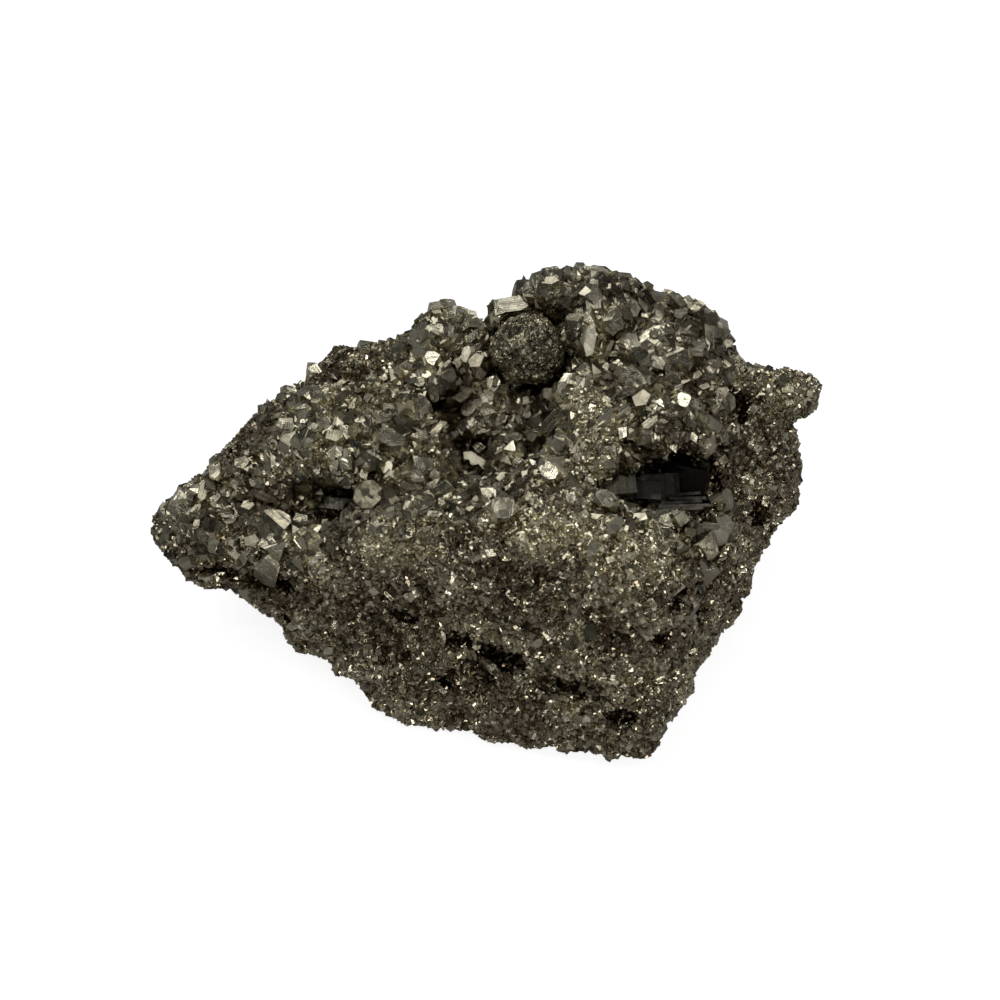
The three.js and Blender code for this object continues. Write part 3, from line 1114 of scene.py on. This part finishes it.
@dataclass
class GrainCrust:
    """The small grains that cover the whole chunk."""

    count: int = 42000
    smallest: float = 0.25 * MM
    largest: float = 0.74 * MM
    size_spread: Span = (1.3, 4.5)
    coarse_gain: float = 0.6
    stretch: Span = (0.7, 1.4)
    corner_reach: float = 0.87
    lift: float = -0.16
    lean: float = 0.6
    foot_margin: float = 0.4 * MM
    pit_thinning: float = 0.75
    druse_thinning: float = 0.82
    patch_width: float = 3.5 * MM
    patch_shading: float = 0.5
    tone_spread: Span = (1.2, 2.2)
    pit_shading: float = 0.2
    frost_shine: float = 0.35
    clean_share: float = 0.06
    pit_painted_shade: float = 0.8
    seed: int = 21
    habits: dict[Habit, float] = field(
        default_factory=lambda: {Habit.BLOCK: 0.5, Habit.OCTAHEDRON: 0.32, Habit.CHIPPED: 0.18}
    )

    def build(self, skin: Skin, stock: CrystalStock, material: bpy.types.Material) -> list[bpy.types.Object]:
        """Grows the grains, one piece for each side of the chunk.

        Args:
            skin: The surface to grow on.
            stock: The crystals to copy.
            material: The granular finish.

        Returns:
            The finished pieces.
        """
        draw = np.random.default_rng(self.seed)
        off_foot = skin.corners[:, :, 2].max(1) > self.foot_margin
        druse = zone_share(skin.corners.mean(1), DRUSE_ZONES)
        weight = off_foot * (1 - self.pit_thinning * skin.pits) * (1 - self.druse_thinning * druse)
        places, normals, pits = skin.spots(self.count, weight, draw)
        coarse = patchiness(places, self.patch_width, COARSE_SHIFT) ** 2
        spread = draw.beta(*self.size_spread, self.count)
        spread = spread + self.coarse_gain * coarse * draw.random(self.count)
        size = self.smallest + (self.largest - self.smallest) * np.clip(spread, 0, 1)
        sizes = size[:, None] * draw.uniform(*self.stretch, (self.count, 3))
        places = places + normals * (size * self.lift)[:, None]
        frosting = zone_share(places, FROSTED_ZONES)
        shading = self.patch_shading * (patchiness(places, self.patch_width, SHADED_SHIFT) - 0.5)
        # Grains in pits take a darker tone: painted shade.
        tones = draw.beta(*self.tone_spread, self.count) - self.pit_shading * pits
        tones = tones + self.frost_shine * frosting + shading
        # A few clean grains keep the brightest tone and take no painted shade.
        clean = draw.random(self.count) < self.clean_share
        tones = np.where(clean, 1.0, np.clip(tones, 0, 1))
        pits = np.where(clean, 0.0, self.pit_painted_shade * pits)
        growth = Growth(places, standing_turns(normals, self.lean, draw), sizes, tones, pits)
        above = places[:, 2] > self.corner_reach * sizes.max(1)
        sides = sides_of(places)
        pieces = []
        for side in Side:
            some = growth.part((sides == side.value) & above)
            pieces.append(stock.grow(side.value, some, self.habits, material, draw))
        return pieces


@dataclass
class Druse:
    """Crystals that crowd some zones of the chunk, such as the crown, the hollow and the groove."""

    name: str
    zones: tuple[Zone, ...]
    count: int
    smallest: float
    largest: float
    habits: dict[Habit, float]
    seed: int
    size_spread: Span = (1.3, 2.8)
    stretch: Span = (0.55, 1.4)
    lift: float = -0.26
    lean: float = 0.32
    spill: float = 0.0
    spill_floor: float = 4 * MM
    pit_thinning: float = 0.7
    keep_off: tuple[Zone, ...] = ()
    keep_off_thinning: float = 0.8
    tone_spread: Span = (1.6, 2.0)
    pit_painted_shade: float = 0.4

    def build(self, skin: Skin, stock: CrystalStock, material: bpy.types.Material) -> bpy.types.Object:
        """Grows the crystals as one piece.

        Args:
            skin: The surface to grow on.
            stock: The crystals to copy.
            material: Their finish.

        Returns:
            The finished piece.
        """
        draw = np.random.default_rng(self.seed)
        middles = skin.corners.mean(1)
        weight = zone_share(middles, self.zones) + self.spill * (middles[:, 2] > self.spill_floor)
        weight = weight * (1 - self.pit_thinning * skin.pits)
        weight = weight * (1 - self.keep_off_thinning * zone_share(middles, self.keep_off))
        places, normals, pits = skin.spots(self.count, weight, draw)
        size = self.smallest + (self.largest - self.smallest) * draw.beta(*self.size_spread, self.count)
        sizes = size[:, None] * draw.uniform(*self.stretch, (self.count, 3))
        places = places + normals * (size * self.lift)[:, None]
        tones = draw.beta(*self.tone_spread, self.count)
        turns = standing_turns(normals, self.lean, draw)
        # Crystals in pits carry painted shade.
        growth = Growth(places, turns, sizes, tones, self.pit_painted_shade * pits)
        return stock.grow(self.name, growth, self.habits, material, draw)


COARSE_DRUSE = Druse(
    name="coarse_druse",
    zones=DRUSE_ZONES,
    keep_off=FROSTED_ZONES + OPEN_ZONES,
    count=2600,
    smallest=1.0 * MM,
    largest=2.7 * MM,
    habits={
        Habit.SPLINTER: 0.32,
        Habit.SHARD: 0.26,
        Habit.PYRITOHEDRON: 0.16,
        Habit.CHIPPED: 0.16,
        Habit.CORNERED: 0.1,
    },
    seed=31,
    lift=-0.29,
    lean=0.28,
    spill=0.005,
    tone_spread=(0.9, 1.1),
)
FINE_DRUSE = Druse(
    name="fine_druse",
    zones=DRUSE_ZONES,
    keep_off=FROSTED_ZONES,
    count=6600,
    smallest=0.45 * MM,
    largest=1.4 * MM,
    habits={Habit.SPLINTER: 0.3, Habit.SHARD: 0.3, Habit.BLOCK: 0.2, Habit.OCTAHEDRON: 0.2},
    seed=32,
    lean=0.45,
    spill=0.04,
)
FROSTED_CRUST = Druse(
    name="frosted_crust",
    zones=FROSTED_ZONES,
    count=2600,
    smallest=0.34 * MM,
    largest=0.8 * MM,
    habits={Habit.OCTAHEDRON: 0.4, Habit.CHIPPED: 0.35, Habit.BLOCK: 0.25},
    seed=33,
    lift=-0.06,
    lean=0.8,
    tone_spread=(1.0, 1.0),
)


@dataclass(frozen=True)
class Blade:
    """A plate of pyrite, in millimetres and degrees: where it is, its size, how it lies and its painted
    shade.
    """

    at: Point
    size: Point
    turn: float
    lean: float
    tarnish: float = 0.5

    def stance(self) -> Array:
        """Gives the plate's turn and lean as a 3 by 3 rotation matrix."""
        return np.array(Euler((math.radians(self.lean), 0, math.radians(self.turn))).to_matrix())


@dataclass
class Blades:
    """The blocks and plates that lie side by side in the cleft and the groove, dark with painted shade."""

    blades: tuple[Blade, ...] = (
        Blade((12.8, -3.4, 20.9), (3.4, 2.0, 1.9), 6, 14),
        Blade((15.8, -2.4, 18.9), (2.6, 1.8, 1.8), -4, 20, 0.7),
        Blade((17.0, -0.9, 17.9), (3.8, 2.8, 2.2), 4, 42, 1.0),
        Blade((20.2, 0.1, 17.8), (3.4, 2.6, 2.2), -16, 46, 1.0),
        Blade((19.0, 0.7, 18.6), (2.6, 1.2, 1.6), 22, 10, 1.0),
        Blade((18.4, -3.9, 17.9), (5.6, 0.3, 1.3), 4, 20),
        Blade((19.8, -3.4, 17.9), (6.0, 0.3, 1.3), 2, 22),
        Blade((18.6, -2.9, 17.8), (5.0, 0.3, 1.3), 5, 24),
        Blade((20.4, -2.4, 17.8), (5.0, 0.3, 1.3), 1, 22),
        Blade((19.0, -1.8, 17.7), (4.0, 0.3, 1.3), 6, 26),
        Blade((-15.2, 0.2, 13.8), (3.2, 1.2, 0.8), -8, 26),
        Blade((-22.6, -1.2, 13.0), (2.8, 1.2, 0.7), 6, 26),
    )
    tones: Span = (0.0, 0.4)
    seed: int = 41

    def build(self, stock: CrystalStock, material: bpy.types.Material) -> bpy.types.Object:
        """Builds the plates as one piece.

        Args:
            stock: The crystals to copy.
            material: The cleft's finish.

        Returns:
            The finished piece.
        """
        draw = np.random.default_rng(self.seed)
        growth = Growth(
            places=np.array([blade.at for blade in self.blades]) * MM,
            turns=np.array([blade.stance() for blade in self.blades]),
            sizes=np.array([blade.size for blade in self.blades]) * MM,
            tones=draw.uniform(*self.tones, len(self.blades)),
            pits=np.array([blade.tarnish for blade in self.blades]),
        )
        return stock.grow("cleft_blades", growth, {Habit.BLOCK: 1.0}, material, draw)


# ------------------------------------------------------------
# The named crystals and the nodule
# ------------------------------------------------------------


@dataclass
class NamedCrystals:
    """The crystals that the frame names, each with flat faces, broken flats and worn edges."""

    chips: int = 4
    chip_reach: Span = (0.7, 0.92)
    chip_weld: float = 1e-7
    flat_angle: float = math.radians(1.0)
    edge: float = 0.03 * MM
    tones: tuple[tuple[str, float], ...] = (
        ("green", 0.1),
        ("kite", 0.12),
        ("grey", 0.4),
        ("plate", 0.5),
        ("pale", 0.8),
        ("rim", 0.8),
        ("bright", 1.0),
    )
    other_tones: Span = (0.3, 0.8)
    seed: int = 5

    def build(self, material: bpy.types.Material) -> list[tuple[bpy.types.Object, str]]:
        """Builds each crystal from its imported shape.

        Args:
            material: The crystal finish.

        Returns:
            Each finished piece, with the node that it stands for.
        """
        draw = np.random.default_rng(self.seed)
        made = []
        for node in crystal_nodes():
            piece = copy_of_node(node, node.removeprefix(CRYSTAL_PREFIX) + "_crystal")
            self._chip(piece, draw)
            with editing(piece):
                bpy.ops.mesh.dissolve_limited(angle_limit=self.flat_angle)
            finish_modifier(piece, "BEVEL", width=self.edge, segments=1, limit_method="ANGLE")
            set_attribute(piece, "growth", "CORNER", growth_lines(piece))
            named = [tone for word, tone in self.tones if word in node]
            tone = np.full(len(piece.data.vertices), named[0] if named else draw.uniform(*self.other_tones))
            set_attribute(piece, "tone", "POINT", tone)
            set_attribute(piece, "pit", "POINT", np.zeros(len(tone)))
            piece.data.shade_flat()
            piece.data.materials.append(material)
            made.append((piece, node))
        return made

    def _chip(self, piece: bpy.types.Object, draw: np.random.Generator) -> None:
        """Breaks a few flats off a crystal, so that no two look alike.

        Args:
            piece: The crystal.
            draw: The source of random numbers.
        """
        for direction in draw.normal(size=(self.chips, 3)):
            outward = Vector(direction).normalized()
            places = vertex_places(piece).astype(float)
            middle = places.mean(0)
            reach = ((places - middle) @ np.array(outward)).max() * draw.uniform(*self.chip_reach)
            with editing(piece):
                slice_off(Vector(middle) + outward * reach, outward, self.chip_weld)


@dataclass
class Nodule:
    """The round nodule in the crown, with its wrinkled skin."""

    voxel: float = 0.13 * MM
    smoothing: int = 12
    growth: float = 1.1
    wrinkles: tuple[Relief, ...] = (Relief("CLOUDS", 1.5, 1.0), Relief("VORONOI", 0.7, 0.34))
    shaded_creases: Hollows = Hollows(30, 0.15)
    jitter: float = 0.018 * MM
    glitter_width: float = 2.2 * MM
    glitter_gain: float = 2.0
    glitter_floor: float = 0.9
    painted_top_shine: float = 1.6
    tone_spread: Span = (0.8, 4.0)
    seed: int = 3

    def build(self, material: bpy.types.Material) -> bpy.types.Object:
        """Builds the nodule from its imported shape.

        Args:
            material: The wrinkled finish.

        Returns:
            The finished piece.
        """
        piece = copy_of_node(NODULE_NODE, "nodule_skin")
        finish_modifier(piece, "REMESH", mode="VOXEL", voxel_size=self.voxel)
        finish_modifier(piece, "SMOOTH", factor=0.5, iterations=self.smoothing)
        places = vertex_places(piece).astype(float)
        middle = places.mean(0)
        move_vertices(piece, middle + (places - middle) * self.growth)
        for layer in self.wrinkles:
            layer.raise_on(piece)
        draw = np.random.default_rng(self.seed)
        # Creases are darkened with painted shade.
        set_attribute(piece, "pit", "POINT", self.shaded_creases.found_on(piece))
        places = vertex_places(piece).astype(float)
        move_vertices(piece, places + draw.normal(0, self.jitter, places.shape))
        set_attribute(piece, "tone", "FACE", self._painted_top_glints(piece, draw))
        piece.data.shade_flat()
        piece.data.materials.append(material)
        return piece

    def _painted_top_glints(self, piece: bpy.types.Object, draw: np.random.Generator) -> Array:
        """Works out how bright each facet is: mostly dark, with patches of painted glints on up-facing
        facets.

        Args:
            piece: The nodule.
            draw: The source of random numbers.

        Returns:
            A share from 0 to 1 for each face.
        """
        upward = np.array([face.normal.z for face in piece.data.polygons])
        middles = np.array([face.center for face in piece.data.polygons])
        patches = self.glitter_gain * patchiness(middles, self.glitter_width, GLITTERING_SHIFT)
        # Up-facing facets get painted glints, as if lit from above.
        glitter = np.clip(patches - self.glitter_floor, 0, 1) * np.clip(upward, 0, 1)
        tone = draw.beta(*self.tone_spread, len(upward))
        return np.clip(tone + self.painted_top_shine * glitter * draw.random(len(upward)), 0, 1)


# ------------------------------------------------------------
# The stage
# ------------------------------------------------------------


@dataclass(frozen=True)
class SoftBox:
    """A square lamp: where it hangs and how wide it is, in metres, and how bright its face is."""

    name: str
    at: Point
    width: float
    brightness: float

    @property
    def watts(self) -> float:
        """The power that gives a lamp of this width its brightness."""
        return self.brightness * math.pi * self.width**2


@dataclass
class Stage:
    """The pale table, the soft lamps, the room's light and the camera."""

    target: Vector = field(default_factory=lambda: Vector((1.3, 0.55, 14.0)) * MM)
    distance: float = 280.0 * MM
    elevation: float = math.radians(52.0)
    lens: float = 100.8
    sensor: float = 36.0
    nearest_seen: float = 10.0 * MM
    table_side: float = 8.0
    table_colour: Colour = (0.45, 0.45, 0.45, 1.0)
    table_roughness: float = 0.9
    table_glow: Span = (0.87, 0.02)
    ceiling_heights: Span = (-0.2, 1.0)
    ceiling_light: Span = (0.08, 0.26)
    mottle_scale: float = 4.0
    mottle_edges: Span = (0.42, 0.62)
    mottle_light: Span = (0.12, 2.2)
    lamps: tuple[SoftBox, ...] = (
        SoftBox("window_box", (-0.25, 0.40, 0.55), 0.45, 1.8),
        SoftBox("top_box", (0.08, -0.01, 0.75), 0.25, 1.2),
        SoftBox("right_box", (0.60, -0.10, 0.30), 0.25, 0.7),
        SoftBox("front_box", (-0.15, -0.70, 0.30), 0.40, 0.45),
        SoftBox("right_spark", (0.43, -0.18, 0.60), 0.12, 7.0),
        SoftBox("front_right_spark", (0.37, -0.41, 0.52), 0.10, 8.0),
        SoftBox("left_spark", (-0.26, -0.08, 0.71), 0.10, 8.0),
        SoftBox("front_spark", (0.09, -0.42, 0.63), 0.08, 8.0),
        SoftBox("back_spark", (0.20, 0.60, 0.45), 0.10, 8.0),
        SoftBox("low_left_spark", (-0.35, -0.60, 0.14), 0.10, 7.0),
        SoftBox("low_right_spark", (0.30, -0.65, 0.12), 0.10, 7.0),
    )

    def build(self) -> None:
        """Sets the stage."""
        self._lay_table()
        self._hang_lamps()
        self._light_room()
        self._set_camera()

    def _lay_table(self) -> None:
        """Lays the pale table, which glows to the eye and hardly at all to the metal."""
        bpy.ops.object.select_all(action="DESELECT")
        bpy.ops.mesh.primitive_plane_add(size=self.table_side)
        table = bpy.context.active_object
        table.name = "table"
        material = bpy.data.materials.new("pale_table")
        material.use_nodes = True
        bench = Bench(material.node_tree)
        shader = material.node_tree.nodes["Principled BSDF"]
        shader.inputs["Base Color"].default_value = self.table_colour
        shader.inputs["Roughness"].default_value = self.table_roughness
        shader.inputs["Emission Color"].default_value = (1.0, 1.0, 1.0, 1.0)
        mirrored = bench.add("ShaderNodeLightPath").outputs["Is Glossy Ray"]
        glow = bench.spread(mirrored, WHOLE, self.table_glow)
        bench.tree.links.new(glow, shader.inputs["Emission Strength"])
        table.data.materials.append(material)

    def _hang_lamps(self) -> None:
        """Hangs the lamps, each facing the chunk."""
        for box in self.lamps:
            bpy.ops.object.light_add(type="AREA", location=box.at)
            lamp = bpy.context.active_object
            lamp.name = box.name
            lamp.data.size = box.width
            lamp.data.energy = box.watts
            towards = self.target - Vector(box.at)
            lamp.rotation_euler = towards.to_track_quat("-Z", "Y").to_euler()

    def _light_room(self) -> None:
        """Gives the room its light: white to the eye, and dim with a brighter ceiling to the metal."""
        world = bpy.data.worlds.new("room")
        world.use_nodes = True
        bpy.context.scene.world = world
        bench = Bench(world.node_tree)
        world.node_tree.nodes.clear()
        place = bench.add("ShaderNodeTexCoord").outputs["Generated"]
        height = bench.add("ShaderNodeSeparateXYZ", {0: place}).outputs["Z"]
        looks = {"Vector": place, "Scale": self.mottle_scale, "Detail": 2.0}
        mottle = bench.add("ShaderNodeTexNoise", looks).outputs["Fac"]
        ceiling = bench.spread(height, self.ceiling_heights, self.ceiling_light)
        level = bench.reckon("MULTIPLY", ceiling, bench.spread(mottle, self.mottle_edges, self.mottle_light))
        seen = bench.add("ShaderNodeLightPath").outputs["Is Camera Ray"]
        strength = bench.reckon("MAXIMUM", level, seen)
        shine = bench.add("ShaderNodeBackground", {"Strength": strength})
        out = bench.add("ShaderNodeOutputWorld")
        bench.tree.links.new(shine.outputs[0], out.inputs["Surface"])

    def _set_camera(self) -> None:
        """Sets the camera above the chunk's front."""
        away = Vector((0.0, -math.cos(self.elevation), math.sin(self.elevation)))
        turn = (math.pi / 2 - self.elevation, 0.0, 0.0)
        bpy.ops.object.camera_add(location=self.target + away * self.distance, rotation=turn)
        camera = bpy.context.active_object
        camera.data.lens = self.lens
        camera.data.sensor_width = self.sensor
        camera.data.clip_start = self.nearest_seen
        bpy.context.scene.camera = camera
        bpy.context.scene.view_settings.view_transform = "Standard"


def main() -> None:
    """Builds the stage and then the chunk, piece by piece."""
    logging.basicConfig(level=logging.INFO, format="%(name)s: %(message)s")
    Stage().build()
    effects = Effects()
    grain_metal = GRAIN_FINISH.material(effects)
    crystal_metal = CRYSTAL_FINISH.material(effects)
    frosted_metal = FROSTED_FINISH.material(effects)
    nodule_metal = NODULE_FINISH.material(effects)
    shaded_blade_metal = SHADED_BLADE_FINISH.material(effects)
    stock = CrystalStock()

    mass = GranularMass().build(grain_metal)
    skin = Skin.of(mass)
    crusts = GrainCrust().build(skin, stock, grain_metal)
    coarse = COARSE_DRUSE.build(skin, stock, crystal_metal)
    fine = FINE_DRUSE.build(skin, stock, crystal_metal)
    frost = FROSTED_CRUST.build(skin, stock, frosted_metal)
    blades = Blades().build(stock, shaded_blade_metal)
    nodule = Nodule().build(nodule_metal)
    named = NamedCrystals().build(crystal_metal)

    hand_over(mass, GRANULAR_SLOT, MASS_NODE)
    for crust in crusts:
        hand_over(crust, GRANULAR_SLOT)
    hand_over(coarse, CRYSTAL_SLOT)
    hand_over(fine, CRYSTAL_SLOT)
    hand_over(frost, GRANULAR_SLOT)
    hand_over(blades, CRYSTAL_SLOT)
    hand_over(nodule, WRINKLED_SLOT, NODULE_NODE)
    for piece, node in named:
        hand_over(piece, CRYSTAL_SLOT, node)


if __name__ == "__main__":
    main()
